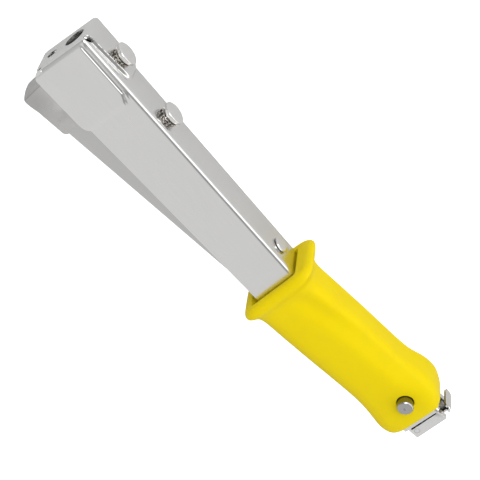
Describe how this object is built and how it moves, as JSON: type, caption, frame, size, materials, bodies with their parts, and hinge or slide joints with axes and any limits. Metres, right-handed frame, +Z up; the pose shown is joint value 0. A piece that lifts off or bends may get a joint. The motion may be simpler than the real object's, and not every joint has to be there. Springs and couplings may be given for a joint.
{
  "type": "staple gun",
  "caption": "Hammer tacker: folded steel head and handle with a soft grip sleeve, a spring-loaded swinging magazine, a draw-out staple rail with pusher, and a sprung tail latch.",
  "frame": {"origin": "centre of the overall bounding box in X and Y, on the plane the tool lies on when it rests on its side", "axes": "+X from the striking head to the butt of the handle, +Y from the strike side towards the top web, +Z up, out of the side that faces up when the tool lies down"},
  "size_m": [0.3032, 0.069, 0.0408],
  "materials": {
    "nickel_plate": "satin nickel plate with fine handling wear",
    "bare_steel": "bright sheet steel",
    "dark_steel": "dark oiled steel",
    "spring_steel": "blue-grey tempered steel",
    "black_rubber": "matt black",
    "soft_vinyl": "satin yellow vinyl"
  },
  "bodies": {
    "housing": {"housing_shell": "nickel_plate", "driver_block": "dark_steel", "driver_blade": "spring_steel", "blade_screw": "bare_steel", "head_screw_front": "nickel_plate", "head_screw_rear": "nickel_plate", "lock_washer_front": "dark_steel", "lock_washer_rear": "dark_steel", "bumper_pad": "black_rubber", "return_spring": "spring_steel", "spring_rivet": "nickel_plate", "stop_block": "dark_steel", "stop_rivet": "bare_steel", "grip_sleeve": "soft_vinyl", "pivot_stub_near": "bare_steel", "pivot_stub_far": "bare_steel"},
    "magazine": {"magazine_channel": "bare_steel", "nose_plate": "bare_steel", "front_guide": "spring_steel", "staple_track": "dark_steel"},
    "rail": {"staple_rail": "bare_steel", "rod_bracket": "bare_steel", "guide_rod": "spring_steel", "rod_anchor": "bare_steel", "pusher_spring": "spring_steel", "tail_cap": "nickel_plate", "tail_rivet": "bare_steel", "tail_bush_near": "bare_steel", "tail_bush_far": "bare_steel", "latch_pin": "bare_steel", "latch_spring": "spring_steel"},
    "pusher": {"pusher": "spring_steel"},
    "latch": {"latch_lever": "nickel_plate"}
  },
  "joints": [
    {"name": "magazine_pivot", "type": "hinge", "parent": "housing", "child": "magazine", "pos_m": [0.12238, 0.01605, 0.0204], "axis": [0, 0, -1], "range_deg": [0, 2.85], "stiffness_Nm_per_rad": 20, "springref_deg": -8.59, "deforming": ["return_spring"]},
    {"name": "rail_slide", "type": "slide", "parent": "magazine", "child": "rail", "axis": [0.9911, 0.1329, 0], "range_m": [0, 0.15]},
    {"name": "pusher_slide", "type": "slide", "parent": "rail", "child": "pusher", "axis": [0.9911, 0.1329, 0], "range_m": [0, 0.13], "stiffness_N_per_m": 60, "springref_m": -0.08, "deforming": ["pusher_spring"]},
    {"name": "latch_tilt", "type": "hinge", "parent": "rail", "child": "latch", "pos_m": [0.14707, 0.00725, 0.0204], "axis": [0, 0, 1], "range_deg": [0, 6.5], "stiffness_Nm_per_rad": 0.5, "springref_deg": -17.19, "deforming": ["latch_spring"]}
  ]
}
